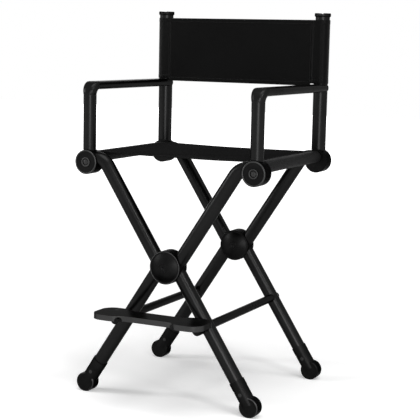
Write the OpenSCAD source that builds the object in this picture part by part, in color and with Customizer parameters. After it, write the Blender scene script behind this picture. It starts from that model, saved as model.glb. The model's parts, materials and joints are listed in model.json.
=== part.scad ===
// Tall folding makeup chair: two crossed pairs of tube legs, two upright side frames, a cloth seat
// and back, and a footrest that swings up. Millimetres. Z is up, the sitter faces -Y.

/* [Frame] */
// Half the distance between the left and the right post
post_x = 277.5; // [270:0.5:285]
// Half the distance between the front and the back leg plane
plane_y = 240; // [235:0.5:250]
// Height of the fold axis
cross_z = 417.3; // [412:0.1:422]
// Height of the seat corner knuckles
knuckle_z = 713.7; // [710:0.1:716]
// Height of the level top end of the legs
leg_top_z = 725; // [722:0.5:728]
// Height of the back post tubes
post_top_z = 1165; // [1140:1:1180]

/* [Leg tubes] */
// Outer diameter of the leg tubes
leg_d = 42.4; // [40:0.2:43]
// Wall of the leg tubes
leg_wall = 2; // [1.5:0.1:2.5]
// Gap that each leg tube keeps to the fold axis when the legs lie side by side
nest_gap = 0.4; // [0.3:0.1:1]
// Centre-line radius of the bend at the top of the legs
bend_r = 50; // [46:1:56]
// Where the tubes are cut square beside the fold hub, along their centre line
tube_start = 38; // [36:1:42]

/* [Fold hubs] */
// Radius of the fold hub drums
hub_r = 50; // [46:1:52]
// Depth of the outer drum, with leg A
hub_outer_depth = 23; // [20:0.5:26]
// Depth of the inner drum, with leg B
hub_inner_depth = 23; // [20:0.5:26]
// Rise of the domed covers
cover_rise = 13; // [8:1:14]
// Radius of the domed covers
cover_r = 43.5; // [42:0.5:45]
// Radius of the bead that runs round a hub's face, outside the groove round the cover
hub_bead_r = 1.6; // [1.2:0.1:1.7]
// Distance of that bead's middle from the edge of the hub
hub_bead_in = 2.2; // [2:0.1:3]
// Radius of the ring raised on a cover
cover_ring_r = 13; // [9:0.5:18]
// Radius of that ring's rounding
cover_bead_r = 1.2; // [0.8:0.1:1.6]
// Depth of the dimple in the middle of a cover
dimple_depth = 2; // [1:0.2:3]
// How far the hubs' and knuckles' spigots reach into the tubes
spigot_len = 42; // [36:1:50]
// Radius of the fold pins
fold_pin_r = 8; // [6:0.5:10]

/* [Seat knuckles] */
// Radius of the knuckle drums
knuckle_r = 37; // [35:0.5:38]
// Depth of the leg drum
knuckle_outer_depth = 22; // [20:0.5:24]
// Depth of the side frame drum
knuckle_inner_depth = 23.5; // [22:0.5:25]
// Depth of the dish in the outer face
dish_depth = 3.6; // [2:0.2:4]
// Radius of the bead round the dish
rim_bead_r = 2.4; // [2:0.1:2.8]
// Outer radius of the ring round the bolt head
boss_r = 15; // [13:0.5:17]
// Radius of the bead on that ring
boss_bead_r = 2.2; // [1.6:0.1:2.2]
// Radius of the bolt head
bolt_head_r = 8; // [7:0.5:9]
// Radius of the bolt
bolt_r = 6; // [5:0.5:7]

/* [Side frames] */
// Outer diameter of the front post and arm tube
arm_tube_d = 39.4; // [38:0.2:40]
// Outer diameter of the back posts
back_post_d = 45; // [43:0.2:46]
// Wall of the post tubes
post_wall = 2; // [1.5:0.1:2.5]
// Height of the middle of the arm
arm_z = 943.8; // [930:0.1:960]
// How far the pressed arm stands out past the back post on each side
arm_lap = 2.5; // [2.2:0.1:4.5]
// Thickness of the pressed arm
arm_h = 24; // [22:0.5:28]
// Corner radius of the pressed arm
arm_corner = 10; // [8:0.5:11]
// Outer radius of the bend at the front of the arm
arm_bend = 40; // [36:1:44]
// How far the arm's side walls reach past the middle of the back post
arm_reach = 6; // [2:1:10]
// Length of the plug in the rear end of the arm, before the back post
arm_insert_len = 26; // [20:1:34]
// Radius of the screw that holds the arm to the back post
arm_screw_r = 3; // [2.5:0.1:4]
// Outer diameter of the seat rails
rail_d = 32; // [30:0.5:34]
// Wall of the seat rails
rail_wall = 1.6; // [1.2:0.1:2]
// Height of the seat rails
rail_z = 726.8; // [724:0.1:730]
// Radius of the cap on a back post
cap_r = 25.5; // [24:0.5:28]
// Height of that cap
cap_h = 12; // [10:1:16]
// Radius of the valley across the cap
cap_valley_r = 14; // [12:1:18]
// Depth of that valley
cap_valley = 6; // [3:0.5:8]

/* [Low bars] */
// Outer diameter of the low bars
bar_d = 25.4; // [25:0.2:28]
// Wall of the low bars
bar_wall = 2; // [1.5:0.1:2.5]
// Height of the low bars
bar_z = 254.2; // [250:0.2:258]
// How far a bar sits outboard of its leg's centre line
bar_shift = 4; // [0:0.5:4]
// Length of the stub in front of the leg plane
stub_len = 80; // [76:1:84]
// Length of the bar behind the rear leg plane
tail_len = 22; // [21:0.5:24]

/* [Feet] */
// Radius of the barrel foot
foot_r = 30; // [28:0.5:32]
// Height of the barrel's axis, a little under its radius for a flat underside
foot_z = 29.5; // [27.5:0.1:30]
// Length of the barrel
foot_len = 32; // [30:1:36]
// Outer radius of the foot's socket
socket_r = 23.6; // [23:0.1:25]
// Length of the socket from the barrel's axis
socket_len = 86; // [80:1:92]
// Where the groove in the socket runs
groove_at = 60; // [56:1:64]
// Where the rivet sits
foot_rivet_at = 44; // [42:1:48]
// Radius of the rivet's shank
foot_rivet_r = 4; // [3:0.5:5]

/* [Cloth] */
// Thickness of the cloth
cloth_t = 1.5; // [1:0.1:2]
// Thickness of the cloth at the hems
hem_t = 2.8; // [2:0.1:3.5]
// Width of the hems
hem_w = 14; // [10:1:18]
// Gap between the seat cloth and the knuckle drums before and behind it
seat_gap = 0.5; // [0.5:0.1:6]
// Where the seat cloth meets its sleeves
seat_seam = 262; // [258:0.5:266]
// Sag in the middle of the seat
seat_sag = 3; // [1:0.5:8]
// How far the lower edge of the back cloth reaches below the top of the arms
back_lap = 5.6; // [0:0.1:12]
// Gap between the upper edge of the back cloth and the caps on the posts
back_gap = 9.3; // [2:0.1:20]
// Gap between the arms and the back sleeves over them
sleeve_gap = 1.6; // [1.2:0.1:6]
// Where the back cloth meets its sleeves
back_seam = 251.5; // [248:0.5:252]
// How far the back cloth bows to the rear in the middle
back_bow = 3; // [1:0.5:8]

/* [Footrest] */
// Height of the footrest's top face
rest_z = 284; // [282:0.5:290]
// Thickness of the footrest's sheet
rest_t = 2; // [1.5:0.1:2.5]
// Height of its turned-down flange
rest_flange = 16; // [12:0.5:16]
// How far the footrest's ends reach past the middle of the stubs
rest_over = 44.4; // [41:0.1:54]
// Half the depth of its ends
rest_end = 55.5; // [52:0.5:58]
// Half the depth of its waist
rest_waist = 37; // [34:0.5:42]
// Corner radius of its ends
rest_corner = 38; // [30:1:40]
// Radius where the waist runs into the ends
rest_fillet = 30; // [24:1:36]
// Length of each end at full depth
rest_end_len = 100; // [94:1:108]
// Gap between the leg plane and the footrest's rear edge
rest_gap = 43; // [42:0.5:48]
// Distance of the notches from the middle
notch_x = 88.5; // [84:0.5:94]
// Width of the notches in the front flange
notch_w = 20; // [15:0.5:22]
// Height of those notches
notch_h = 12; // [9:0.5:13]
// Length of the clip and the saddle under the plate
clip_len = 26; // [20:1:28]
// Thickness of the clip round the stub
clip_wall = 3; // [2.5:0.1:4]
// Width of the flat top of the clip, where the plate rests
clip_w = 26; // [22:1:30]
// Distance between the two rivets of the clip
clip_pitch = 14; // [12:1:16]
// Distance from the rear edge of the plate to the clip
clip_inset = 7; // [4:1:12]
// Radius of the rivets in the plate
clip_rivet_r = 3; // [2.5:0.1:3.5]

/* [Fits] */
// Radial clearance of a pin or tube in its bore
fit = 0.05; // [0.02:0.01:0.1]
// Radial clearance between a drum and the tubes that swing round it
swing_gap = 1; // [0.8:0.1:1.5]
// Gap between the two drums of a hub
drum_gap = 0.5; // [0.3:0.1:0.8]
// Gap between the open saddle and its bar
saddle_gap = 0.6; // [0.4:0.1:1]

/* [Hidden] */
$fn = 72;
leg_r = leg_d / 2;
leg_bore = leg_r - leg_wall;
leg_offset = leg_r + nest_gap;
foot_drop = cross_z - foot_z;
leg_tilt = acos(leg_offset / norm([post_x, foot_drop])) - atan2(foot_drop, post_x);
upper_at = [leg_offset * cos(leg_tilt), cross_z - leg_offset * sin(leg_tilt), 0];
lower_at = [leg_offset * cos(leg_tilt), cross_z + leg_offset * sin(leg_tilt), 0];
bend_tangent = bend_r * tan((90 - leg_tilt) / 2);
corner_x = leg_offset / cos(leg_tilt) + (leg_top_z - cross_z) * tan(leg_tilt);
bend_s = (leg_top_z - upper_at[1]) / cos(leg_tilt) - bend_tangent;
bend_at = [corner_x + bend_tangent, leg_top_z - bend_r, 0];
foot_s = (lower_at[1] - foot_z) / cos(leg_tilt);
lower_len = foot_s - foot_r + leg_wall;
outer_u = 2;
inner_u = outer_u - drum_gap;
hub_face = outer_u + hub_outer_depth;
hub_back = inner_u - hub_inner_depth;
knuckle_face = outer_u + knuckle_outer_depth;
knuckle_back = inner_u - knuckle_inner_depth;
dish_floor = knuckle_face - dish_depth;
dish_r = knuckle_r - 2 * rim_bead_r;
clear_u = 1.2 * hub_r;
arm_r = arm_tube_d / 2;
back_r = back_post_d / 2;
arm_w = back_post_d + 2 * arm_lap;
rail_r = rail_d / 2;
rail_rise = rail_z - knuckle_z;
rail_half = plane_y + knuckle_back;
arm_top = arm_z + arm_h / 2;
arm_back = plane_y + arm_reach;
elbow_y = arm_bend - plane_y - arm_r;
elbow_z = arm_top - arm_bend;
cloth_in = rail_r + fit * 2;
loop_in = back_r + fit * 2;
cloth_z = rail_z + cloth_in + cloth_t / 2;
cloth_y = plane_y - loop_in - cloth_t / 2;
seat_half = rail_half - seat_gap;
back_low_z = arm_top - back_lap;
back_high_z = post_top_z - back_gap;
sleeve_low_z = arm_top + sleeve_gap;
bar_r = bar_d / 2;
bar_x = leg_offset / cos(leg_tilt) + (cross_z - bar_z) * tan(leg_tilt) + bar_shift;
rest_half = bar_x + rest_over;
rest_back_y = -plane_y - rest_gap;
rest_y = rest_back_y - rest_end;
rest_under = rest_z - rest_t;
rest_low = rest_z - rest_flange;
lobe_x = rest_half - rest_corner;
lobe_in = rest_half - rest_end_len + rest_corner;
lobe_y = rest_end - rest_corner;
fillet_x = lobe_in - sqrt(pow(rest_corner + rest_fillet, 2) - pow(rest_waist + rest_fillet - lobe_y, 2));
clip_y = rest_back_y - clip_inset - clip_len / 2;
rivet_low = bar_z + bar_r + clip_wall;
// The part stands with the middle of its depth at y = 0
rear_extent = plane_y + hub_face + cover_rise;
front_extent = rest_end - rest_y;
y_mid = (front_extent - rear_extent) / 2;

paint = [0.09, 0.09, 0.095];
plastic = [0.06, 0.06, 0.06];
fabric = [0.075, 0.075, 0.078];
steel = [0.2, 0.2, 0.21];
plate = [0.16, 0.16, 0.17];

// Placing: each leg plane is drawn flat, X to the right, Y up and Z outward, then stood up
module front_plane() {
  translate([0, y_mid - plane_y, 0]) rotate([90, 0, 0]) children();
}

module rear_plane() {
  translate([0, y_mid + plane_y, 0]) mirror([0, 1, 0]) rotate([90, 0, 0]) children();
}

module left_side() {
  mirror([1, 0, 0]) children();
}

// Along the centre line of the right upper leg, upward from beside the fold axis
module along_upper() {
  translate(upper_at) rotate([0, 0, -leg_tilt]) rotate([-90, 0, 0]) children();
}

// Along the centre line of the right lower leg, downward from beside the fold axis
module along_lower() {
  translate(lower_at) rotate([0, 0, leg_tilt]) rotate([90, 0, 0]) children();
}

module at_fold() {
  translate([0, cross_z, 0]) children();
}

module at_knuckle() {
  translate([post_x, knuckle_z, 0]) children();
}

module drum(r, low, high) {
  translate([0, 0, low]) cylinder(r = r, h = high - low);
}

// A round bead laid in a ring
module bead(ring, r, z) {
  translate([0, 0, z]) rotate_extrude() translate([ring, 0]) circle(r = r, $fn = 24);
}

// Leg tubes. A short core bridges the straight run and its bend
module upper_core(r) {
  along_upper() drum(r, tube_start, bend_s);
  along_upper() drum(r - leg_wall / 4, bend_s - leg_wall, bend_s + leg_wall);
  translate(bend_at) rotate([0, 0, 90]) rotate_extrude(angle = 90 - leg_tilt)
    translate([bend_r, 0]) circle(r = r);
}

module upper_leg() {
  difference() {
    upper_core(leg_r);
    upper_core(leg_bore);
    along_upper() drum(leg_bore, tube_start - leg_wall, tube_start + leg_wall);
    at_fold() drum(hub_r + swing_gap, -clear_u, clear_u);
    at_knuckle() drum(knuckle_r + swing_gap * 4, -clear_u, clear_u);
  }
}

module lower_leg() {
  difference() {
    along_lower() drum(leg_r, tube_start, lower_len);
    along_lower() drum(leg_bore, tube_start - leg_wall, lower_len + leg_wall);
    at_fold() drum(hub_r + swing_gap, -clear_u, clear_u);
    translate([bar_x, bar_z, 0]) drum(bar_r + fit, -clear_u, clear_u);
    along_lower() translate([0, 0, foot_s - foot_rivet_at]) rotate([90, 0, 0])
      cylinder(r = foot_rivet_r + fit, h = 4 * foot_r, center = true);
  }
}

// Fold hubs. Each drum holds its own two tubes by spigots, halved where the other drum turns
module fold_spigots() {
  left_side() along_upper() drum(leg_bore - fit, tube_start / 2, tube_start + spigot_len);
  along_lower() drum(leg_bore - fit, tube_start / 2, tube_start + spigot_len);
}

module fold_drum_outer() {
  difference() {
    union() {
      at_fold() drum(hub_r, outer_u, hub_face);
      at_fold() bead(hub_r - hub_bead_in, hub_bead_r, hub_face + hub_bead_r / 4);
      fold_spigots();
    }
    at_fold() drum(hub_r + swing_gap / 2, -clear_u, outer_u);
    at_fold() drum(fold_pin_r + fit, 0, hub_face + 1);
  }
}

module fold_drum_inner() {
  difference() {
    union() {
      at_fold() drum(hub_r, hub_back, inner_u);
      at_fold() bead(hub_r - hub_bead_in, hub_bead_r, hub_back - hub_bead_r / 4);
      left_side() fold_spigots();
    }
    at_fold() drum(hub_r + swing_gap / 2, inner_u, clear_u);
    at_fold() drum(fold_pin_r + fit, hub_back - 1, 10);
  }
}

// A flat-based dome with a raised ring and a dimple in its middle
module dome() {
  ball = (cover_r * cover_r + cover_rise * cover_rise) / (2 * cover_rise);
  hollow = 9;
  difference() {
    union() {
      intersection() {
        translate([0, 0, cover_rise - ball]) sphere(r = ball, $fn = 144);
        drum(cover_r, 0, cover_rise + 1);
      }
      bead(cover_ring_r, cover_bead_r, cover_rise - ball + sqrt(ball * ball - cover_ring_r * cover_ring_r));
    }
    translate([0, 0, cover_rise - dimple_depth + hollow]) sphere(r = hollow);
  }
}

module fold_cover_outer() {
  at_fold() translate([0, 0, hub_face]) dome();
}

module fold_cover_inner() {
  at_fold() translate([0, 0, hub_back]) rotate([180, 0, 0]) dome();
}

module fold_pin() {
  at_fold() drum(fold_pin_r, hub_back, hub_face);
}

// Seat corner knuckles, drawn for the right side
module leg_drum() {
  difference() {
    union() {
      at_knuckle() drum(knuckle_r, outer_u, knuckle_face - rim_bead_r * 0.75);
      at_knuckle() bead(knuckle_r - rim_bead_r - 0.4, rim_bead_r, knuckle_face - rim_bead_r);
      translate(bend_at) rotate([0, 0, 90]) rotate_extrude(angle = 36)
        translate([bend_r, 0]) circle(r = leg_bore - fit);
    }
    at_knuckle() drum(knuckle_r + swing_gap, -clear_u, outer_u);
    at_knuckle() drum(dish_r, dish_floor, clear_u);
    at_knuckle() drum(bolt_r + fit, 0, knuckle_face);
  }
}

module knuckle_cover() {
  at_knuckle() difference() {
    union() {
      drum(dish_r - fit, dish_floor, dish_floor + 1.6);
      drum(boss_r, dish_floor + 1.6, knuckle_face - boss_bead_r / 4);
      bead(boss_r - boss_bead_r - 0.2, boss_bead_r, knuckle_face - boss_bead_r / 2);
    }
    drum(bolt_head_r + 1.5, dish_floor - 1, knuckle_face + 2);
  }
}

module knuckle_bolt() {
  at_knuckle() {
    drum(bolt_r, knuckle_back + 6, dish_floor);
    drum(bolt_head_r, dish_floor, dish_floor + 2.4);
    translate([0, 0, dish_floor + 2.4]) intersection() {
      translate([0, 0, 1.6 - 20.8]) sphere(r = 20.8);
      drum(bolt_head_r, 0, 4);
    }
  }
}

// The side frame's drum. Its spigots hold the post above and the seat rail behind it
module side_drum(post_bore) {
  difference() {
    union() {
      at_knuckle() drum(knuckle_r, knuckle_back, inner_u);
      at_knuckle() rotate([-90, 0, 0]) drum(post_bore - fit, knuckle_r / 2, knuckle_r + spigot_len);
      at_knuckle() translate([0, rail_rise, 0])
        drum(rail_r - rail_wall - fit, knuckle_back - spigot_len / 2, knuckle_back + 1);
    }
    at_knuckle() drum(knuckle_r + swing_gap, inner_u, clear_u);
    at_knuckle() drum(bolt_r + fit, knuckle_back + 5, 10);
  }
}

// Feet, drawn for the right side
module foot() {
  difference() {
    union() {
      translate([post_x, foot_z, 0]) {
        drum(foot_r, -foot_len / 2, foot_len / 2);
        for (turn = [0, 180]) rotate([turn, 0, 0]) translate([0, 0, foot_len / 2]) {
          cylinder(r1 = foot_r, r2 = foot_r - 2.5, h = 2);
          drum(foot_r - 6, 1.5, 2.6);
          intersection() {
            translate([0, 0, 4.2 - 74]) sphere(r = 74);
            drum(foot_r - 9, 1.5, 6);
          }
        }
      }
      along_lower() drum(socket_r, foot_s - socket_len, foot_s - groove_at - 1.5);
      along_lower() drum(socket_r - 1, foot_s - groove_at - 2, foot_s - groove_at + 2);
      along_lower() drum(socket_r - 0.4, foot_s - groove_at + 1.5, foot_s - 5);
    }
    along_lower() drum(leg_r + fit, foot_s - socket_len - 1, lower_len);
    along_lower() translate([0, 0, foot_s - foot_rivet_at]) rotate([90, 0, 0])
      cylinder(r = foot_rivet_r + fit, h = 4 * foot_r, center = true);
    translate([post_x - 2 * foot_r, -foot_r, -2 * foot_len]) cube([4 * foot_r, foot_r, 4 * foot_len]);
  }
}

module foot_rivet() {
  along_lower() translate([0, 0, foot_s - foot_rivet_at]) rotate([90, 0, 0]) {
    cylinder(r = foot_rivet_r, h = 2 * socket_r, center = true);
    for (turn = [0, 180]) rotate([turn, 0, 0]) translate([0, 0, socket_r]) intersection() {
      translate([0, 0, 1.4 - 12]) sphere(r = 12);
      drum(foot_rivet_r + 1.6, 0, 3);
    }
  }
}

// Low bars, drawn for the right side
module low_bar() {
  translate([bar_x, y_mid - plane_y - stub_len, bar_z]) rotate([-90, 0, 0]) difference() {
    cylinder(r = bar_r, h = 2 * plane_y + stub_len + tail_len);
    translate([0, 0, -1]) cylinder(r = bar_r - bar_wall, h = 2 * plane_y + stub_len + tail_len + 2);
  }
}

module bar_plug() {
  cylinder(r = bar_r - bar_wall - fit, h = 12);
  translate([0, 0, -1.5]) cylinder(r = bar_r, h = 1.5);
  translate([0, 0, -2.5]) cylinder(r1 = bar_r - 1.2, r2 = bar_r, h = 1);
}

module bar_plugs() {
  translate([bar_x, y_mid - plane_y - stub_len, bar_z]) rotate([-90, 0, 0]) bar_plug();
  translate([bar_x, y_mid + plane_y + tail_len, bar_z]) rotate([90, 0, 0]) bar_plug();
}

// Arm: round front post, an elbow that is pressed flat as it turns, and the flat arm
module arm_section(inset) {
  w = arm_w / 2 - inset;
  h = arm_h / 2 - inset;
  c = arm_corner - inset;
  square([2 * (w - c), 2 * h], center = true);
  square([2 * w, 2 * (h - c)], center = true);
  for (sx = [-1, 1], sy = [-1, 1]) translate([sx * (w - c), sy * (h - c)]) circle(r = c);
}

// One ring of the elbow: press runs from 0, round, to 1, flat; turn is the angle round the bend
function elbow_ring(press, turn, inset) = [
  for (q = [0 : 3], i = [0 : 8])
    let (
      a = 90 * q + 90 * i / 8,
      c = arm_r + (arm_corner - arm_r) * press - inset,
      sx = q == 0 || q == 3 ? 1 : -1,
      sy = q < 2 ? 1 : -1,
      middle = arm_bend - arm_r + (arm_r - arm_h / 2) * press,
      across = sx * (arm_w / 2 - arm_corner) * press + c * cos(a),
      reach = middle + sy * (arm_h / 2 - arm_corner) * press + c * sin(a)
    )
    [across, -reach * cos(turn), reach * sin(turn)]
];

function shifted(ring, y, z) = [for (p = ring) p + [0, y, z]];

module elbow() {
  turns = [5, 12, 21, 30, 39, 48, 57, 66, 75, 82];
  rings = concat(
    [shifted(elbow_ring(0.01, 0, 0.3), 0, -1)],
    [for (t = turns) elbow_ring(min(1, max(0.03, pow(t / 80, 0.9))), t, t < 6 ? 0.1 : 0)],
    [shifted(elbow_ring(1, 90, 0.2), 1, 0)]
  );
  n = len(rings[0]);
  m = len(rings);
  polyhedron(
    points = [for (ring = rings) each ring],
    faces = concat(
      [for (i = [1 : n - 2]) [0, i + 1, i]],
      [for (k = [0 : m - 2], i = [0 : n - 1]) let (j = (i + 1) % n) [k * n + i, k * n + j, k * n + n + i]],
      [for (k = [0 : m - 2], i = [0 : n - 1]) let (j = (i + 1) % n) [k * n + j, k * n + n + j, k * n + n + i]],
      [for (i = [1 : n - 2]) [(m - 1) * n, (m - 1) * n + i, (m - 1) * n + i + 1]]
    )
  );
}

module arm() {
  difference() {
    union() {
      translate([post_x, y_mid - plane_y, knuckle_z]) cylinder(r = arm_r, h = elbow_z - knuckle_z);
      translate([post_x, y_mid + elbow_y, elbow_z]) elbow();
      translate([post_x, y_mid + elbow_y, arm_z]) rotate([-90, 0, 0])
        linear_extrude(arm_back - elbow_y) arm_section(0);
    }
    translate([post_x, y_mid - plane_y, knuckle_z - 1]) cylinder(r = arm_r - post_wall, h = elbow_z - knuckle_z);
    translate([post_x, y_mid + elbow_y + 6, arm_z]) rotate([-90, 0, 0])
      linear_extrude(arm_back - elbow_y) arm_section(post_wall);
    front_plane() at_knuckle() drum(knuckle_r + swing_gap * 3, -clear_u, clear_u);
    translate([post_x, y_mid + plane_y, arm_z - arm_h]) cylinder(r = back_r + fit, h = 2 * arm_h);
  }
}

module arm_insert() {
  difference() {
    translate([post_x, y_mid + plane_y - back_r - arm_insert_len, arm_z]) rotate([-90, 0, 0])
      linear_extrude(back_r + arm_insert_len) arm_section(post_wall + fit);
    translate([post_x, y_mid + plane_y, arm_z - arm_h]) cylinder(r = back_r + fit, h = 2 * arm_h);
    translate([post_x, y_mid + plane_y, arm_z]) rotate([90, 0, 0]) cylinder(r = arm_screw_r + fit, h = 2 * arm_w);
  }
}

module arm_screw() {
  translate([post_x, y_mid + plane_y + back_r, arm_z]) {
    rotate([90, 0, 0]) cylinder(r = arm_screw_r, h = 2 * back_r + arm_insert_len * 0.7);
    rotate([-90, 0, 0]) cylinder(r1 = arm_screw_r + 2.5, r2 = arm_screw_r + 1, h = arm_screw_r);
  }
}

module back_post() {
  difference() {
    translate([post_x, y_mid + plane_y, knuckle_z]) cylinder(r = back_r, h = post_top_z - knuckle_z);
    translate([post_x, y_mid + plane_y, knuckle_z - 1])
      cylinder(r = back_r - post_wall, h = post_top_z - knuckle_z + 2);
    rear_plane() at_knuckle() drum(knuckle_r + swing_gap * 3, -clear_u, clear_u);
    translate([post_x, y_mid + plane_y, arm_z]) rotate([90, 0, 0])
      cylinder(r = arm_screw_r + fit, h = 2 * arm_w, center = true);
  }
}

module post_cap() {
  translate([post_x, y_mid + plane_y, post_top_z]) difference() {
    union() {
      translate([0, 0, -16]) cylinder(r = back_r - post_wall - fit, h = 17);
      cylinder(r1 = back_r, r2 = cap_r, h = 2.5);
      translate([0, 0, 2.5]) cylinder(r = cap_r, h = cap_h - 4);
      translate([0, 0, cap_h - 1.5]) cylinder(r1 = cap_r, r2 = cap_r - 1.5, h = 1.5);
    }
    translate([0, 0, cap_h - cap_valley + cap_valley_r]) rotate([90, 0, 0])
      cylinder(r = cap_valley_r, h = 4 * cap_r, center = true);
  }
}

module seat_rail() {
  translate([post_x, y_mid - rail_half, rail_z]) rotate([-90, 0, 0]) difference() {
    cylinder(r = rail_r, h = 2 * rail_half);
    translate([0, 0, -1]) cylinder(r = rail_r - rail_wall, h = 2 * rail_half + 2);
  }
}

// Sleeves: the cloth goes round its tube and back to a seam
module seat_sleeve() {
  translate([post_x, y_mid - seat_half, rail_z]) rotate([-90, 0, 0]) difference() {
    union() {
      cylinder(r = cloth_in + cloth_t, h = 2 * seat_half);
      translate([seat_seam - post_x, -cloth_in - cloth_t, 0]) cube([post_x - seat_seam, cloth_t, 2 * seat_half]);
    }
    translate([0, 0, -1]) cylinder(r = cloth_in, h = 2 * seat_half + 2);
  }
}

module back_sleeve() {
  translate([post_x, y_mid + plane_y, sleeve_low_z]) difference() {
    union() {
      cylinder(r = loop_in + cloth_t, h = back_high_z - sleeve_low_z);
      translate([back_seam - post_x, -loop_in - cloth_t, 0])
        cube([post_x - back_seam, cloth_t, back_high_z - sleeve_low_z]);
    }
    translate([0, 0, -1]) cylinder(r = loop_in, h = back_high_z - sleeve_low_z + 2);
  }
}

// A cloth panel with hems along two edges, drawn flat; it dips by drop between its seams
module cloth_panel(half_x, half_y, drop) {
  columns = 16;
  xs = [for (i = [0 : columns]) half_x * (2 * i / columns - 1)];
  rows = [half_y, half_y - 0.8, half_y - hem_w, half_y - hem_w - 0.8, half_y * 0.55, half_y * 0.2];
  ys = concat([for (y = rows) -y], [for (i = [len(rows) - 1 : -1 : 0]) rows[i]]);
  nx = len(xs);
  ny = len(ys);
  half = function (y) abs(y) > half_y - 0.5 ? hem_t / 2 - 0.5 : (abs(y) > half_y - hem_w - 0.4 ? hem_t / 2 : cloth_t / 2);
  points = [
    for (side = [1, -1], x = xs, y = ys)
      [x, y, side * half(y) - drop * (1 - pow(x / half_x, 2))]
  ];
  under = nx * ny;
  polyhedron(
    points = points,
    faces = concat(
      [for (i = [0 : nx - 2], j = [0 : ny - 2]) let (p = i * ny + j) [p, p + 1, p + ny]],
      [for (i = [0 : nx - 2], j = [0 : ny - 2]) let (p = i * ny + j) [p + 1, p + ny + 1, p + ny]],
      [for (i = [0 : nx - 2], j = [0 : ny - 2]) let (p = under + i * ny + j) [p, p + ny, p + 1]],
      [for (i = [0 : nx - 2], j = [0 : ny - 2]) let (p = under + i * ny + j) [p + 1, p + ny, p + ny + 1]],
      [for (i = [0 : nx - 2]) let (p = i * ny) [p, p + ny, p + under]],
      [for (i = [0 : nx - 2]) let (p = i * ny) [p + ny, p + under + ny, p + under]],
      [for (i = [0 : nx - 2]) let (p = i * ny + ny - 1) [p, p + under, p + ny]],
      [for (i = [0 : nx - 2]) let (p = i * ny + ny - 1) [p + ny, p + under, p + under + ny]],
      [for (j = [0 : ny - 2]) [j, j + under, j + 1]],
      [for (j = [0 : ny - 2]) [j + 1, j + under, j + under + 1]],
      [for (j = [0 : ny - 2]) let (p = (nx - 1) * ny + j) [p, p + 1, p + under]],
      [for (j = [0 : ny - 2]) let (p = (nx - 1) * ny + j) [p + 1, p + under + 1, p + under]]
    )
  );
}

// Footrest
module rest_outline(inset) {
  for (s = [-1, 1]) {
    for (x = [lobe_x, lobe_in], y = [-lobe_y, lobe_y])
      translate([s * x, y]) circle(r = rest_corner - inset);
    translate([s * (lobe_x + lobe_in) / 2, 0]) {
      square([lobe_x - lobe_in, 2 * (rest_end - inset)], center = true);
      square([rest_end_len - 2 * inset, 2 * lobe_y], center = true);
    }
    for (t = [-1, 1]) difference() {
      translate([s * (fillet_x + lobe_in) / 2, t * rest_waist])
        square([lobe_in - fillet_x, 2 * (rest_end - rest_waist) * 0.55], center = true);
      translate([s * fillet_x, t * (rest_waist + rest_fillet)]) circle(r = rest_fillet + inset);
      translate([s * lobe_in, t * rest_end]) square([2 * rest_corner, 2 * 6], center = true);
    }
  }
  square([2 * lobe_in, 2 * (rest_waist - inset)], center = true);
}

module footrest_plate_solid() {
  difference() {
    translate([0, y_mid + rest_y, rest_low]) linear_extrude(rest_flange) rest_outline(0);
    translate([0, y_mid + rest_y, rest_low - 1]) linear_extrude(rest_flange - rest_t + 1) rest_outline(rest_t);
    for (s = [-1, 1]) translate([s * notch_x, y_mid + rest_y - rest_end - 1, rest_low]) {
      translate([0, 0, notch_h - notch_w / 2]) rotate([-90, 0, 0]) cylinder(r = notch_w / 2, h = rest_waist);
      translate([-notch_w / 2, 0, -1]) cube([notch_w, rest_waist, notch_h - notch_w / 2 + 1]);
    }
    rivet_bores();
  }
}

module rivet_bores() {
  for (s = [-1, 1], d = [-0.5, 0.5])
    translate([s * bar_x, y_mid + clip_y + d * clip_pitch, rivet_low - fit])
      cylinder(r = clip_rivet_r + fit, h = 2 * rest_flange);
}

module clip_solid() {
  difference() {
    translate([bar_x, y_mid + clip_y - clip_len / 2, bar_z]) rotate([-90, 0, 0]) difference() {
      union() {
        cylinder(r = bar_r + clip_wall, h = clip_len);
        translate([-clip_w / 2, bar_z - rest_under, 0]) cube([clip_w, rest_under - bar_z, clip_len]);
      }
      translate([0, 0, -1]) cylinder(r = bar_r + fit, h = clip_len + 2);
    }
    rivet_bores();
  }
}

// An angle piece, open toward the middle and below, that comes down over the other stub
module saddle_solid() {
  reach = bar_r + saddle_gap;
  difference() {
    translate([-bar_x - reach - clip_wall, y_mid + clip_y - clip_len / 2, bar_z]) {
      cube([clip_wall, clip_len, rest_under - bar_z]);
      translate([0, 0, reach]) cube([reach + clip_wall + clip_w / 2, clip_len, rest_under - bar_z - reach]);
    }
    rivet_bores();
  }
}

module rivets_solid() {
  for (s = [-1, 1], d = [-0.5, 0.5])
    translate([s * bar_x, y_mid + clip_y + d * clip_pitch, rivet_low])
      cylinder(r = clip_rivet_r, h = rest_z - rivet_low);
}

// Sub-parts
module leg_a_front_upper() { color(paint) front_plane() left_side() upper_leg(); }
module leg_a_front_lower() { color(paint) front_plane() lower_leg(); }
module leg_a_rear_upper() { color(paint) rear_plane() left_side() upper_leg(); }
module leg_a_rear_lower() { color(paint) rear_plane() lower_leg(); }
module leg_b_front_upper() { color(paint) front_plane() upper_leg(); }
module leg_b_front_lower() { color(paint) front_plane() left_side() lower_leg(); }
module leg_b_rear_upper() { color(paint) rear_plane() upper_leg(); }
module leg_b_rear_lower() { color(paint) rear_plane() left_side() lower_leg(); }

module fold_hub_a_front() { color(plastic) front_plane() fold_drum_outer(); }
module fold_hub_a_rear() { color(plastic) rear_plane() fold_drum_outer(); }
module fold_hub_b_front() { color(plastic) front_plane() fold_drum_inner(); }
module fold_hub_b_rear() { color(plastic) rear_plane() fold_drum_inner(); }

module fold_covers_a() {
  color(plastic) {
    front_plane() fold_cover_outer();
    rear_plane() fold_cover_outer();
  }
}

module fold_covers_b() {
  color(plastic) {
    front_plane() fold_cover_inner();
    rear_plane() fold_cover_inner();
  }
}

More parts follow.
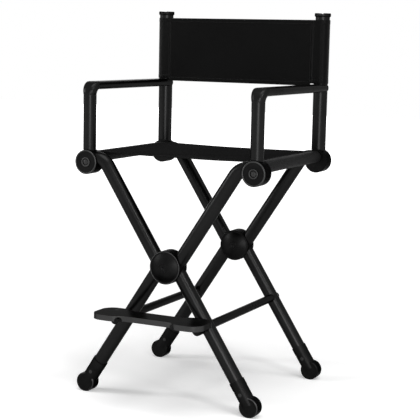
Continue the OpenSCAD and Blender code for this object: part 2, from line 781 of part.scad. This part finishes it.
module fold_pins() {
  color(steel) {
    front_plane() fold_pin();
    rear_plane() fold_pin();
  }
}

module knuckle_a_front() { color(plastic) front_plane() left_side() leg_drum(); }
module knuckle_a_rear() { color(plastic) rear_plane() left_side() leg_drum(); }
module knuckle_b_front() { color(plastic) front_plane() leg_drum(); }
module knuckle_b_rear() { color(plastic) rear_plane() leg_drum(); }

module knuckle_covers_b() {
  color(plastic) {
    front_plane() knuckle_cover();
    rear_plane() knuckle_cover();
  }
}

module knuckle_covers_a() { left_side() knuckle_covers_b(); }

module knuckle_bolts_b() {
  color(steel) {
    front_plane() knuckle_bolt();
    rear_plane() knuckle_bolt();
  }
}

module knuckle_bolts_a() { left_side() knuckle_bolts_b(); }

module foot_a_front() { color(plastic) front_plane() foot(); }
module foot_a_rear() { color(plastic) rear_plane() foot(); }
module foot_b_front() { color(plastic) front_plane() left_side() foot(); }
module foot_b_rear() { color(plastic) rear_plane() left_side() foot(); }

module foot_rivets_a() {
  color(steel) {
    front_plane() foot_rivet();
    rear_plane() foot_rivet();
  }
}

module foot_rivets_b() { left_side() foot_rivets_a(); }

module low_bar_a() { color(paint) low_bar(); }
module low_bar_b() { color(paint) left_side() low_bar(); }
module bar_plugs_a() { color(plastic) bar_plugs(); }
module bar_plugs_b() { color(plastic) left_side() bar_plugs(); }

module side_drum_right_front() { color(plastic) front_plane() side_drum(arm_r - post_wall); }
module side_drum_right_rear() { color(plastic) rear_plane() side_drum(back_r - post_wall); }
module side_drum_left_front() { left_side() side_drum_right_front(); }
module side_drum_left_rear() { left_side() side_drum_right_rear(); }

module arm_right() { color(paint) arm(); }
module arm_left() { color(paint) left_side() arm(); }
module arm_insert_right() { color(plastic) arm_insert(); }
module arm_insert_left() { color(plastic) left_side() arm_insert(); }
module arm_screw_right() { color(steel) arm_screw(); }
module arm_screw_left() { color(steel) left_side() arm_screw(); }

module back_post_right() { color(paint) back_post(); }
module back_post_left() { color(paint) left_side() back_post(); }
module post_cap_right() { color(plastic) post_cap(); }
module post_cap_left() { color(plastic) left_side() post_cap(); }

module seat_rail_right() { color(paint) seat_rail(); }
module seat_rail_left() { color(paint) left_side() seat_rail(); }

module seat_sleeve_right() { color(fabric) seat_sleeve(); }
module seat_sleeve_left() { color(fabric) left_side() seat_sleeve(); }
module back_sleeve_right() { color(fabric) back_sleeve(); }
module back_sleeve_left() { color(fabric) left_side() back_sleeve(); }

module seat_cloth() {
  color(fabric) translate([0, y_mid, cloth_z]) cloth_panel(seat_seam, seat_half, seat_sag);
}

module back_cloth() {
  color(fabric) translate([0, y_mid + cloth_y, (back_low_z + back_high_z) / 2]) rotate([90, 0, 0])
    cloth_panel(back_seam, (back_high_z - back_low_z) / 2, back_bow);
}

module footrest_plate() { color(plate) footrest_plate_solid(); }
module footrest_clip() { color(plastic) clip_solid(); }
module footrest_saddle() { color(plastic) saddle_solid(); }
module footrest_rivets() { color(steel) rivets_solid(); }

leg_a_front_upper();
leg_a_front_lower();
leg_a_rear_upper();
leg_a_rear_lower();
leg_b_front_upper();
leg_b_front_lower();
leg_b_rear_upper();
leg_b_rear_lower();
fold_hub_a_front();
fold_hub_a_rear();
fold_hub_b_front();
fold_hub_b_rear();
fold_covers_a();
fold_covers_b();
fold_pins();
knuckle_a_front();
knuckle_a_rear();
knuckle_b_front();
knuckle_b_rear();
knuckle_covers_a();
knuckle_covers_b();
knuckle_bolts_a();
knuckle_bolts_b();
foot_a_front();
foot_a_rear();
foot_b_front();
foot_b_rear();
foot_rivets_a();
foot_rivets_b();
low_bar_a();
low_bar_b();
bar_plugs_a();
bar_plugs_b();
side_drum_left_front();
side_drum_left_rear();
side_drum_right_front();
side_drum_right_rear();
arm_left();
arm_right();
arm_insert_left();
arm_insert_right();
arm_screw_left();
arm_screw_right();
back_post_left();
back_post_right();
post_cap_left();
post_cap_right();
seat_rail_left();
seat_rail_right();
seat_sleeve_left();
seat_sleeve_right();
back_sleeve_left();
back_sleeve_right();
seat_cloth();
back_cloth();
footrest_plate();
footrest_clip();
footrest_saddle();
footrest_rivets();
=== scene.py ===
import json
import math

import bmesh
import bpy
from mathutils import Matrix, Vector, noise


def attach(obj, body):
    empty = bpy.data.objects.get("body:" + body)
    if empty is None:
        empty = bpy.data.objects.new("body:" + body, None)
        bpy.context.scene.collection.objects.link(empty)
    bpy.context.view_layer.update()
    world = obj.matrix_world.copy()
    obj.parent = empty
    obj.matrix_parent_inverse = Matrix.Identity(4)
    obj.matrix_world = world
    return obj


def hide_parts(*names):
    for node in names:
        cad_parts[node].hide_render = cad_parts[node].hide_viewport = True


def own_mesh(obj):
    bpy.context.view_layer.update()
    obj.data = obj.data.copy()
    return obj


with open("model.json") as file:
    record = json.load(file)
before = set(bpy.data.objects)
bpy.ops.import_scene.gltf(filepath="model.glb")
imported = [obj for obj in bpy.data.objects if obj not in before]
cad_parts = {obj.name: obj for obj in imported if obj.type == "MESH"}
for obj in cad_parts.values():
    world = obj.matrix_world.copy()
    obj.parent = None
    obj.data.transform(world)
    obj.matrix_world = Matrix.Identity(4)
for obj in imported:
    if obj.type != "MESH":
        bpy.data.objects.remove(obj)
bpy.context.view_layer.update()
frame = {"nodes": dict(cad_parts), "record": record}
nodes = frame["nodes"]
slots = {s["node"]: s["material_slot"] for s in frame["record"]["subparts"]}

# All lengths are in metres.
Y_MID = 0.058  # middle of the leg frames, front to back

# The photograph's camera, fitted to straight edges and to the rims of hubs and knuckles
AZIMUTH = math.radians(26.0446)
ELEVATION = math.radians(7.84)
ROLL = math.radians(1.2399)
TARGET = Vector((0.0156, Y_MID, 0.5609))
DISTANCE = 3.8590
FOCAL_PX = 1236.0677
PHOTO_PX = 420
SENSOR_MM = 36.0


def put(obj):
    bpy.context.scene.collection.objects.link(obj)
    return obj


def make_camera():
    back = Vector((
        math.sin(AZIMUTH) * math.cos(ELEVATION),
        -math.cos(AZIMUTH) * math.cos(ELEVATION),
        math.sin(ELEVATION),
    ))
    level_right = Vector((math.cos(AZIMUTH), math.sin(AZIMUTH), 0.0))
    level_up = back.cross(level_right)
    right = level_right * math.cos(ROLL) + level_up * math.sin(ROLL)
    up = level_up * math.cos(ROLL) - level_right * math.sin(ROLL)
    data = bpy.data.cameras.new("photo_camera")
    data.sensor_width = SENSOR_MM
    data.lens = FOCAL_PX / PHOTO_PX * SENSOR_MM
    data.clip_start = 0.05
    data.clip_end = 60
    cam = put(bpy.data.objects.new("photo_camera", data))
    m = Matrix((right, up, back)).transposed().to_4x4()
    m.translation = TARGET + back * DISTANCE
    cam.matrix_world = m
    bpy.context.scene.camera = cam


make_camera()


# Materials

class Nodes:
    """A short way to build a node tree."""

    def __init__(self, tree):
        tree.nodes.clear()
        self.tree = tree

    def link(self, a, b):
        self.tree.links.new(a, b)

    def feed(self, socket, value):
        """Link another node's output to the socket, or set its plain value."""
        if isinstance(value, bpy.types.NodeSocket):
            self.link(value, socket)
        else:
            socket.default_value = value

    def add(self, kind, **values):
        """Each in_NAME or in_NUMBER feeds that input, and anything else sets a property of the node."""
        node = self.tree.nodes.new(kind)
        for key, value in values.items():
            if key.startswith("in_"):
                name = key[3:].replace("_", " ")
                self.feed(node.inputs[int(name)] if name.isdigit() else node.inputs[name], value)
            else:
                setattr(node, key, value)
        return node

    def math(self, operation, a, b=0.0, clamp=False):
        node = self.add("ShaderNodeMath", operation=operation, use_clamp=clamp, in_0=a, in_1=b)
        return node.outputs[0]

    def mix(self, factor, a, b):
        """A colour between a and b. The numbers are the places of its colour sockets."""
        return self.add("ShaderNodeMix", data_type="RGBA", in_0=factor, in_6=a, in_7=b).outputs[2]

    def noise(self, coords, scale, detail, roughness=0.5):
        return self.add(
            "ShaderNodeTexNoise", in_Vector=coords, in_Scale=scale, in_Detail=detail, in_Roughness=roughness
        ).outputs[0]

    def seen(self):
        """1 where the camera or a reflection looks, and 0 where a surface is only lit."""
        path = self.add("ShaderNodeLightPath").outputs
        seen = self.math("MAXIMUM", path["Is Camera Ray"], path["Is Glossy Ray"])
        return self.math("MAXIMUM", seen, path["Is Transmission Ray"])


class Surface:
    """A material with one Principled shader."""

    def __init__(self, name):
        self.material = bpy.data.materials.new(name)
        self.material.use_nodes = True
        self.n = Nodes(self.material.node_tree)
        out = self.n.add("ShaderNodeOutputMaterial")
        shader = self.n.add("ShaderNodeBsdfPrincipled")
        self.n.link(shader.outputs[0], out.inputs[0])
        self.inputs = shader.inputs
        self.coords = self.n.add("ShaderNodeTexCoord").outputs["Object"]

    def set(self, **values):
        for key, value in values.items():
            self.inputs[key.replace("_", " ")].default_value = value

    def colour(self, tone, dark, light):
        self.n.link(self.n.mix(tone, grey(dark), grey(light)), self.inputs["Base Color"])

    def roughness(self, texture, middle, swing):
        level = self.n.math("ADD", self.n.math("MULTIPLY", texture, swing), middle - swing / 2)
        self.n.link(level, self.inputs["Roughness"])

    def bump(self, height, strength, distance):
        bump = self.n.add("ShaderNodeBump", in_Strength=strength, in_Distance=distance, in_Height=height)
        self.n.link(bump.outputs[0], self.inputs["Normal"])


def grey(v):
    return (v, v, v, 1.0)


def paint(name, dark, light, rough, edge, peel=0.05):
    """Satin powder coat: fine orange peel, cloudy gloss, a trace of dust in the colour. edge tints grazing light."""
    s = Surface(name)
    n = s.n
    clouds = n.noise(s.coords, 9.0, 4.0, 0.6)
    grain = n.noise(s.coords, 520.0, 2.0, 0.55)
    dust = n.noise(s.coords, 1900.0, 1.0)
    s.colour(n.math("ADD", n.math("MULTIPLY", clouds, 0.7), n.math("MULTIPLY", dust, 0.3)), dark, light)
    s.roughness(clouds, rough, 0.12)
    s.set(Metallic=1.0, Specular_Tint=grey(edge))
    s.bump(grain, peel, 0.0006)
    return s.material


# Rims that get a painted highlight, a lighter and so more reflective colour: middle x and z, inner and outer radius,
# nearest and farthest y from the middle
HIGHLIGHTED_RIMS = (
    (0.2775, 0.7137, 0.0318, 0.0380, 0.2600, 0.2700),  # bead of the corner knuckles
    (0.2775, 0.7137, 0.0100, 0.0148, 0.2620, 0.2700),  # ring in their faces
    (0.0, 0.4173, 0.0458, 0.0496, 0.2645, 0.2720),  # bead of the fold hubs
    (0.2775, 0.0295, 0.0266, 0.0310, 0.2550, 0.2590),  # edge of the feet
)
RIM_FADE = 0.0008
FACE_FADE = 0.0015
# The lighter grey of the rims' painted highlight
RIM_HIGHLIGHT_GREY = 0.045


def rim_highlight_mask(n, coords):
    """1 on the rims that get the painted highlight, fading to 0 beside them."""
    at = n.add("ShaderNodeSeparateXYZ", in_0=coords).outputs
    across = n.math("ABSOLUTE", at[0])
    out = n.math("ABSOLUTE", n.math("SUBTRACT", at[1], Y_MID))
    total = None
    for x, z, inner, outer, near, far in HIGHLIGHTED_RIMS:
        dx = n.math("SUBTRACT", across, x)
        dz = n.math("SUBTRACT", at[2], z)
        r = n.math("SQRT", n.math("ADD", n.math("MULTIPLY", dx, dx), n.math("MULTIPLY", dz, dz)))
        on = None
        for a, b, fade in ((r, inner, RIM_FADE), (outer, r, RIM_FADE), (out, near, FACE_FADE), (far, out, FACE_FADE)):
            past = n.math("DIVIDE", n.math("SUBTRACT", a, b), fade, clamp=True)
            on = past if on is None else n.math("MULTIPLY", on, past)
        total = on if total is None else n.math("MAXIMUM", total, on)
    return total


def plastic(name, dark, light, rough, edge):
    """Moulded plastic with a fine spark-eroded grain, and a painted highlight along its rims, where its colour is
    lighter and so reflects more. edge tints grazing light.
    """
    s = Surface(name)
    n = s.n
    cells = n.add("ShaderNodeTexVoronoi", in_Vector=s.coords, in_Scale=900.0)
    clouds = n.noise(s.coords, 16.0, 5.0, 0.6)
    # Painted highlight: on the rims the colour moves towards that lighter grey
    highlight_share = n.math("MULTIPLY", rim_highlight_mask(n, s.coords), n.math("ADD", clouds, 0.4), clamp=True)
    tone = n.mix(clouds, grey(dark), grey(light))
    n.link(n.mix(highlight_share, tone, grey(RIM_HIGHLIGHT_GREY)), s.inputs["Base Color"])
    s.roughness(clouds, rough, 0.16)
    s.set(Metallic=1.0, Specular_Tint=grey(edge))
    s.bump(cells.outputs["Distance"], 0.12, 0.0004)
    return s.material


def steel(name, base, rough):
    """Blackened steel fastener, lightly brushed."""
    s = Surface(name)
    scratch = s.n.noise(s.coords, 700.0, 3.0, 0.7)
    s.colour(scratch, base * 0.7, base * 1.4)
    s.set(Metallic=0.7)
    s.roughness(scratch, rough, 0.2)
    s.bump(scratch, 0.1, 0.0003)
    return s.material


THREAD_PITCH = 0.0011


def canvas(name, dark, light, axes, rough, specular):
    """Plain-weave canvas. axes are the two object axes that its threads follow."""
    s = Surface(name)
    n = s.n
    at = n.add("ShaderNodeSeparateXYZ", in_0=s.coords).outputs
    turns = 2 * math.pi / THREAD_PITCH
    warp, weft = (n.math("SINE", n.math("MULTIPLY", at[axis], turns)) for axis in axes)
    weave = n.math("MULTIPLY", warp, weft)
    slub = n.noise(s.coords, 240.0, 3.0, 0.7)
    clouds = n.noise(s.coords, 7.0, 4.0, 0.55)
    tone = n.math("ADD", n.math("MULTIPLY", weave, 0.18), n.math("MULTIPLY", slub, 0.35))
    s.colour(n.math("ADD", tone, n.math("MULTIPLY", clouds, 0.5), clamp=True), dark, light)
    s.set(Roughness=rough, Specular_IOR_Level=specular)
    s.set(Sheen_Weight=0.02, Sheen_Roughness=0.5, Sheen_Tint=(0.5, 0.5, 0.52, 1.0))
    s.bump(n.math("ADD", n.math("MULTIPLY", weave, 0.5), slub), 0.35, 0.0004)
    return s.material


def thread(name, dark, light):
    """Waxed sewing thread: two plies twisted together."""
    s = Surface(name)
    plies = s.n.add("ShaderNodeTexWave", in_Vector=s.coords, in_Scale=900.0, in_Distortion=1.5)
    s.colour(plies.outputs["Fac"], dark, light)
    s.set(Roughness=0.6, Specular_IOR_Level=0.25)
    s.bump(plies.outputs["Fac"], 0.3, 0.0002)
    return s.material


MATERIALS = {
    "black_paint": paint("black_paint", 0.006, 0.020, 0.29, 0.50),
    "footrest_paint": paint("footrest_paint", 0.019, 0.064, 0.31, 0.28, 0.08),
    "black_plastic": plastic("black_plastic", 0.003, 0.015, 0.40, 0.40),
    "dark_steel": steel("dark_steel", 0.02, 0.42),
    "black_cloth": canvas("black_cloth", 0.0036, 0.0076, (0, 2), 0.9, 0.04),
}
# The same cloth as black_cloth, in copies with painted light and shade: its colour is lighter on the level seat as
# painted light, a little lighter on the seat's sleeves, and darker on the back's sleeves as painted shade. Where it is
# pulled smooth over the tubes it is also less rough
SEAT_CLOTH_PAINTED_LIGHT = canvas("seat_canvas", 0.0060, 0.0130, (0, 1), 0.9, 0.0)
SEAT_SLEEVE_PAINTED_LIGHT = canvas("seat_sleeve_canvas_painted_light", 0.0042, 0.0085, (0, 1), 0.6, 0.03)
BACK_SLEEVE_PAINTED_SHADE = canvas("back_sleeve_canvas_painted_shade", 0.0016, 0.0046, (0, 2), 0.30, 0.04)

THREAD = thread("sewing_thread", 0.006, 0.014)

for name, obj in nodes.items():
    obj.data.materials.clear()
    obj.data.materials.append(MATERIALS[slots[name]])


# Cloth pieces

CLOTH = 0.0015
HEM = 0.0028
HEM_WIDTH = 0.014
RAIL_R = 0.0161
RAIL_Z = 0.7268
POST_R = 0.0226
POST_X = 0.2775  # of the rails too
POST_BACK = 0.240  # behind the middle of the leg frames

SEAT_HALF_X = 0.262
SEAT_HALF_Y = 0.2175
SEAT_Z = RAIL_Z + RAIL_R + CLOTH / 2
SEAT_SAG = 0.003

BACK_HALF_X = 0.2515
BACK_LOW = 0.9502
BACK_HIGH = 1.1557
BACK_Y = Y_MID + POST_BACK - POST_R - CLOTH / 2
BACK_BOW = 0.003

COLUMNS = 72
HEM_ROOM = 0.02  # from an edge to the first of the even rows
SEAT_HEM_ROOM = 0.0275
PUCKER = 0.0007  # height of the gathers at the sleeves
PUCKER_REACH = 0.03
SLEEVE_STEPS = 48
SLEEVE_GAP = 0.0001  # between the tube and the tail's underside
SLEEVE_WAVE = 0.0003
HEM_OUTWARD = 0.6  # the share of a hem's extra thickness that shows outside a sleeve


def mesh_object(name, verts, faces, material):
    mesh = bpy.data.meshes.new(name)
    mesh.from_pydata([tuple(v) for v in verts], [], faces)
    bm = bmesh.new()
    bm.from_mesh(mesh)
    bmesh.ops.recalc_face_normals(bm, faces=bm.faces)
    bm.to_mesh(mesh)
    bm.free()
    mesh.shade_smooth()
    mesh.materials.append(material)
    return put(bpy.data.objects.new(name, mesh))


def spread(low, high, count):
    return sorted({round(low + (high - low) * i / count, 6) for i in range(count + 1)})


def ripple(u, v, seed):
    return noise.noise(Vector((u, v, seed)))


def hem_profile(distance):
    """Half thickness at a distance in from the hemmed edge: rolled edge, puffed middle, dip at the stitches, cloth."""
    if distance < 0.0004:
        return HEM * 0.22
    if distance < 0.0016:
        return HEM * 0.44
    if distance < HEM_WIDTH - 0.0012:
        return HEM * (0.46 + 0.06 * math.sin(math.pi * distance / HEM_WIDTH))
    if distance < HEM_WIDTH:
        return CLOTH * 0.46
    return CLOTH * 0.5


def hemmed_rows(low, high, room, count):
    """Rows of a cloth with a hem at both ends, close together across each hem and even between them."""
    steps = (0.0, 0.0006, 0.0018, 0.005, 0.009, 0.0122, 0.0131, 0.0142, 0.017)
    hems = {low + s for s in steps} | {high - s for s in steps}
    return sorted(hems | set(spread(low + room, high - room, count)))


def panel(name, us, vs, place, material):
    """A thin closed sheet: place(u, v, side) gives the point, with side +1 on the face and -1 behind."""
    nu, nv = len(us), len(vs)
    verts = [place(u, v, side) for side in (1, -1) for u in us for v in vs]
    under = nu * nv
    faces = []
    for i in range(nu - 1):
        for j in range(nv - 1):
            p = i * nv + j
            faces.append((p, p + nv, p + nv + 1, p + 1))
            q = p + under
            faces.append((q, q + 1, q + nv + 1, q + nv))
    for i in range(nu - 1):
        a, b = i * nv, (i + 1) * nv
        faces.append((a, a + under, b + under, b))
        a, b = a + nv - 1, b + nv - 1
        faces.append((a, b, b + under, a + under))
    for j in range(nv - 1):
        faces.append((j, j + 1, j + 1 + under, j + under))
        a = (nu - 1) * nv + j
        faces.append((a, a + under, a + 1 + under, a + 1))
    return mesh_object(name, verts, faces, material)


def slack(x, half_x):
    """1 midway between the sleeves and 0 at their seams."""
    return 1 - (x / half_x) ** 2


def puckers(x, v, half_x, per_metre, seed):
    """Gathers that run in from the sleeves and die away."""
    return PUCKER * math.exp(-(half_x - abs(x)) / PUCKER_REACH) * ripple(3.0 * x, v * per_metre, seed)


def seat_place(x, y, side):
    pull = slack(x, SEAT_HALF_X)
    wave = puckers(x, y, SEAT_HALF_X, 38, 4.2) + 0.0008 * ripple(x * 7, y * 9, 1.5) * pull
    half = hem_profile(SEAT_HALF_Y - abs(y))
    return (x, y + Y_MID, SEAT_Z - SEAT_SAG * pull + wave + side * half)


def back_place(x, z, side):
    pull = slack(x, BACK_HALF_X)
    wave = puckers(x, z, BACK_HALF_X, 40, 8.1) + 0.0009 * ripple(x * 6, z * 10, 2.3) * pull
    half = hem_profile(min(z - BACK_LOW, BACK_HIGH - z))
    return (x, BACK_Y + BACK_BOW * pull + wave - side * half, z)


seat_panel = panel(
    "seat_canvas_panel", spread(-SEAT_HALF_X, SEAT_HALF_X, COLUMNS),
    hemmed_rows(-SEAT_HALF_Y, SEAT_HALF_Y, SEAT_HEM_ROOM, 36), seat_place, SEAT_CLOTH_PAINTED_LIGHT)
back_panel = panel(
    "back_canvas_panel", spread(-BACK_HALF_X, BACK_HALF_X, COLUMNS),
    hemmed_rows(BACK_LOW, BACK_HIGH, HEM_ROOM, 24), back_place, MATERIALS["black_cloth"])


def sleeve(name, radius, tail, rows, place, material, seed):
    """Cloth looped round a tube whose middle is at 0, 0: a ring with a flat tail that leaves its top towards -X.

    rows gives each row's place along the tube and its half thickness. A row's points are its outer skin, a turn of
    steps + 1 points and the four corners of the tail, and then its inner skin.
    """
    steps = SLEEVE_STEPS
    verts, faces = [], []
    for v, half in rows:
        outer = radius + CLOTH + max(0.0, half - CLOTH / 2) * HEM_OUTWARD
        under = radius + SLEEVE_GAP
        turn = math.acos(under / outer)
        inner = []
        for k in range(steps + 1):
            a = math.pi / 2 - (2 * math.pi - turn) * k / steps
            blend = math.sin(math.pi * k / steps)
            r = outer + SLEEVE_WAVE * blend * ripple(math.cos(a) * 2.1, math.sin(a) * 2.1 + v * 22, seed)
            verts.append(place((r * math.cos(a), r * math.sin(a)), v))
            inner.append((radius * math.cos(a), radius * math.sin(a)))
        knee = -(tail + outer * math.sin(turn)) / 2
        for p in ((knee, under), (-tail, under), (-tail, outer), (knee, outer)):
            verts.append(place(p, v))
        for share in (2 / 3, 1 / 3):
            inner.append((-radius * math.sin(turn * share), radius * math.cos(turn * share)))
        verts += [place(p, v) for p in inner]
    n_out, n_in = steps + 5, steps + 3
    n = n_out + n_in
    for j in range(len(rows) - 1):
        a, b = j * n, (j + 1) * n
        for i in range(n_out):
            i2 = (i + 1) % n_out
            faces.append((a + i, a + i2, b + i2, b + i))
        for i in range(n_in):
            i2 = (i + 1) % n_in
            faces.append((a + n_out + i, b + n_out + i, b + n_out + i2, a + n_out + i2))
    join, low, end, top, knee_top = steps, steps + 1, steps + 2, steps + 3, steps + 4
    for j in (0, len(rows) - 1):
        base, ring = j * n, j * n + n_out
        for k in range(steps):
            faces.append((base + k, base + k + 1, ring + k + 1, ring + k))
        faces.append((base + top, base + knee_top, base + low, base + end))
        faces.append((base + knee_top, base, base + join, base + low))
        near, far = ring + steps + 2, ring + steps + 1
        faces.append((base, ring, near))
        faces.append((base, near, base + join))
        faces.append((base + join, near, far))
        faces.append((base + join, far, ring + steps))
    return mesh_object(name, verts, faces, material)


def sleeve_rows(low, high, count):
    rows = hemmed_rows(low, high, HEM_ROOM, count)
    return [(v, hem_profile(min(v - low, high - v))) for v in rows]


BACK_SLEEVE_LOW = 0.9574
sleeves = {}
for side, sign in (("left", -1), ("right", 1)):
    def seat_at(p, v, sign=sign):
        return (sign * (POST_X + p[0]), v + Y_MID, RAIL_Z + p[1])

    def back_at(p, v, sign=sign):
        return (sign * (POST_X + p[0]), Y_MID + POST_BACK - p[1], v)

    sleeves["seat_" + side] = sleeve(
        "seat_canvas_sleeve_" + side, RAIL_R, POST_X - SEAT_HALF_X,
        sleeve_rows(-SEAT_HALF_Y, SEAT_HALF_Y, 26), seat_at, SEAT_SLEEVE_PAINTED_LIGHT, 3.0 + sign)
    sleeves["back_" + side] = sleeve(
        "back_canvas_sleeve_" + side, POST_R, POST_X - BACK_HALF_X,
        sleeve_rows(BACK_SLEEVE_LOW, BACK_HIGH, 14), back_at, BACK_SLEEVE_PAINTED_SHADE, 6.0 + sign)


# Stitching

STITCH_PITCH = 0.005
STITCH_LENGTH = 0.0038
THREAD_R = 0.0004
THREAD_SIDES = 5
STITCH_DIP = 0.0002  # how far its ends go into the cloth
HEM_SEAM = 0.0116  # in from the hemmed edge
SLEEVE_SEAM = 0.003  # in from the sleeve


def seam(place, start, end):
    """Stitches end to end along a line; place(t) gives a point on the cloth and its outward direction."""
    count = int((end - start) / STITCH_PITCH)
    runs = []
    for i in range(count):
        t = start + (end - start) * (i + 0.5) / count
        a, up = place(t - STITCH_LENGTH / 2)
        b, _ = place(t + STITCH_LENGTH / 2)
        runs.append((Vector(a), Vector(b), Vector(up)))
    return runs


def stitches(name, runs):
    """Lock stitches: short plump threads that dip into the cloth at both ends."""
    verts, faces = [], []
    for a, b, up in runs:
        along = (b - a).normalized()
        across = along.cross(up).normalized()
        first = len(verts)
        verts.append(a - up * STITCH_DIP)
        for share, lift in ((0.14, 0.3), (0.5, 0.8), (0.86, 0.3)):
            centre = a.lerp(b, share) + up * THREAD_R * lift
            for k in range(THREAD_SIDES):
                turn = 2 * math.pi * k / THREAD_SIDES
                verts.append(centre + across * math.cos(turn) * THREAD_R + up * math.sin(turn) * THREAD_R * 0.8)
        verts.append(b - up * STITCH_DIP)
        rings = [first + 1 + THREAD_SIDES * i for i in range(3)]
        last = rings[2] + THREAD_SIDES
        for k in range(THREAD_SIDES):
            k2 = (k + 1) % THREAD_SIDES
            faces.append((first, rings[0] + k, rings[0] + k2))
            faces.append((last, rings[2] + k2, rings[2] + k))
            for p, q in zip(rings, rings[1:]):
                faces.append((p + k, q + k, q + k2, p + k2))
    return mesh_object(name, verts, faces, THREAD)


def panel_seams(point, half_x, low, high):
    """Seams round both faces of a panel: along its two hems, then along its two sleeves."""
    runs = []
    for side in (1, -1):
        for edge in (low + HEM_SEAM, high - HEM_SEAM):
            runs += seam(lambda x: point(x, edge, side), -half_x + 0.006, half_x - 0.006)
        for end in (-half_x + SLEEVE_SEAM, half_x - SLEEVE_SEAM):
            runs += seam(lambda v: point(end, v, side), low + 0.004, high - 0.004)
    return runs


def on_seat(x, y, side):
    return seat_place(x, y, side), (0, 0, side)


def on_back(x, z, side):
    return back_place(x, z, side), (0, -side, 0)


seat_thread = stitches("seat_stitching", panel_seams(on_seat, SEAT_HALF_X, -SEAT_HALF_Y, SEAT_HALF_Y))
back_thread = stitches("back_stitching", panel_seams(on_back, BACK_HALF_X, BACK_LOW, BACK_HIGH))

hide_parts("seat_cloth")
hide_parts("back_cloth")
for side in ("left", "right"):
    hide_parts("seat_sleeve_" + side)
    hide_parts("back_sleeve_" + side)
    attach(sleeves["seat_" + side], "side_" + side)
    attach(sleeves["back_" + side], "side_" + side)
for piece in (seat_panel, back_panel, seat_thread, back_thread):
    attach(piece, "side_left")
for piece in (seat_panel, seat_thread):
    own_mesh(piece)
for piece in (back_panel, back_thread):
    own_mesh(piece)


# The rolled and moulded edges, which catch the light

EDGES = (  # width, and how the names of its nodes start; the bolts start like knuckle_b too, and get both
    (0.0012, ("fold_hub_", "knuckle_a", "knuckle_b", "side_drum_", "foot_")),
    (0.0030, ("footrest_plate",)),
    (0.0008, ("post_cap_", "footrest_clip", "footrest_saddle")),
    (0.0006, ("knuckle_covers", "knuckle_bolts", "bar_plugs")),
)
for width, starts in EDGES:
    for name in nodes:
        if name.startswith(starts) and "rivet" not in name:
            bevel = nodes[name].modifiers.new("edges", "BEVEL")
            bevel.width = width
            bevel.segments = 3
            bevel.limit_method = "ANGLE"
            bevel.angle_limit = math.radians(40)
            bevel.use_clamp_overlap = True
            bevel.miter_outer = "MITER_ARC"


# Studio

AMBIENT = 0.08  # how much the white surroundings light the chair
FLOOR_HALF = 14.0
FLOOR_GLOW = 0.35  # added to the floor where the camera or a reflection sees it
SWEEP_FROM = 0.9  # beyond this distance the floor brightens towards the white surroundings
SWEEP_RATE = 0.1


def make_floor():
    mesh = bpy.data.meshes.new("studio_floor")
    corners = [(x * FLOOR_HALF, y * FLOOR_HALF, 0) for x, y in ((-1, -1), (1, -1), (1, 1), (-1, 1))]
    mesh.from_pydata(corners, [], [(0, 1, 2, 3)])
    floor = put(bpy.data.objects.new("studio_floor", mesh))
    material = bpy.data.materials.new("studio_floor")
    material.use_nodes = True
    n = Nodes(material.node_tree)
    out = n.add("ShaderNodeOutputMaterial")
    coords = n.add("ShaderNodeTexCoord").outputs["Object"]
    diffuse = n.add("ShaderNodeBsdfDiffuse", in_Color=n.mix(n.noise(coords, 1.5, 3.0), grey(0.86), grey(0.88)))
    away = n.add("ShaderNodeVectorMath", operation="LENGTH", in_0=coords).outputs["Value"]
    sweep = n.math("MULTIPLY", n.math("SUBTRACT", away, SWEEP_FROM), SWEEP_RATE, clamp=True)
    level = n.math("MULTIPLY", n.seen(), n.math("ADD", sweep, FLOOR_GLOW))
    glow = n.add("ShaderNodeEmission", in_Color=grey(1), in_Strength=level)
    both = n.add("ShaderNodeAddShader", in_0=diffuse.outputs[0], in_1=glow.outputs[0])
    n.link(both.outputs[0], out.inputs[0])
    mesh.materials.append(material)


def make_world():
    world = bpy.data.worlds.new("studio")
    world.use_nodes = True
    n = Nodes(world.node_tree)
    out = n.add("ShaderNodeOutputWorld")
    strength = n.math("ADD", n.math("MULTIPLY", n.seen(), 1.0 - AMBIENT), AMBIENT)
    back = n.add("ShaderNodeBackground", in_Color=grey(1), in_Strength=strength)
    n.link(back.outputs[0], out.inputs[0])
    bpy.context.scene.world = world


def lamp(name, kind, place, aim, energy):
    data = bpy.data.lights.new(name, kind)
    data.energy = energy
    obj = put(bpy.data.objects.new(name, data))
    obj.location = place
    obj.rotation_euler = (Vector(aim) - Vector(place)).to_track_quat("-Z", "Y").to_euler()
    return data


def softbox(name, place, aim, size, watts):
    data = lamp(name, "AREA", place, aim, watts)
    data.shape = "RECTANGLE"
    data.size, data.size_y = size


make_floor()
make_world()
# A sun this wide lights the whole floor as evenly as a ceiling of softboxes would.
ceiling = lamp("ceiling_softbox", "SUN", (0, 0, 0), (-0.14, 0.18, -1.0), 1.7)
ceiling.angle = math.radians(42)
softbox("key_softbox", (2.35, -3.85, 1.20), (0.0, 0.0, 0.65), (1.7, 1.6), 82)
softbox("right_high", (3.15, -2.07, 3.05), (0.0, 0.0, 0.6), (0.7, 0.7), 34)
softbox("left_strip", (-3.43, -1.53, 1.97), (0.0, 0.0, 0.6), (0.7, 1.5), 48)

scene = bpy.context.scene
scene.view_settings.view_transform = "Standard"
